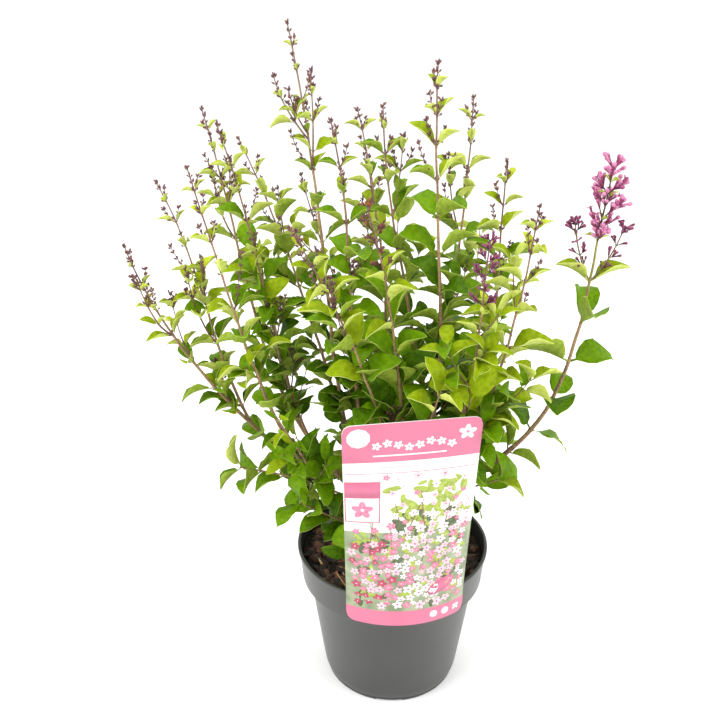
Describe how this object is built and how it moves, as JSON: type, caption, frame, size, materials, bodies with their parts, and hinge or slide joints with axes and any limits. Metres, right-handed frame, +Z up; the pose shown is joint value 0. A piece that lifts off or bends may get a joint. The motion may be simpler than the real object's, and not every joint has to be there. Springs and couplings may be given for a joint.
{
  "type": "potted lilac bush",
  "caption": "Young lilac bush in a round nursery pot: upright leafy shoots with small dark buds and pink blossom, and a bent plant label clipped over the rim.",
  "frame": {"origin": "centre of the flat disc under the pot, on the surface that the pot stands on", "axes": "+Z up along the pot's axis and the plant's height, -Y towards the label and the viewer, +X to the right"},
  "size_m": [0.44, 0.3597, 0.6398],
  "materials": {
    "pot": "satin mid-grey moulded plastic",
    "potting_mix": "dark brown bark chips and fibre, rough",
    "label_card": "smooth printed plastic card",
    "bark": "fine brown bark with pale lenticels",
    "foliage": "thin leaves, soft sheen",
    "blossom": "soft pink and purple florets and buds"
  },
  "bodies": {
    "root": {"pot": "pot", "potting_mix": "potting_mix", "plant_label": "label_card", "main_stem": "bark", "bough_left": "bark", "bough_right": "bark", "bough_left_front": "bark", "bough_right_front": "bark", "bough_left_back": "bark", "bough_right_back": "bark", "bough_front": "bark", "bough_back": "bark", "bough_left_middle": "bark", "bough_right_middle": "bark", "bough_middle": "bark", "foliage_left": "foliage", "foliage_right": "foliage", "foliage_left_front": "foliage", "foliage_right_front": "foliage", "foliage_left_back": "foliage", "foliage_right_back": "foliage", "foliage_front": "foliage", "foliage_back": "foliage", "foliage_left_middle": "foliage", "foliage_right_middle": "foliage", "foliage_middle": "foliage", "foliage_low_left": "foliage", "foliage_low_front": "foliage", "foliage_low_right": "foliage", "foliage_low_back": "foliage"}
  },
  "joints": []
}
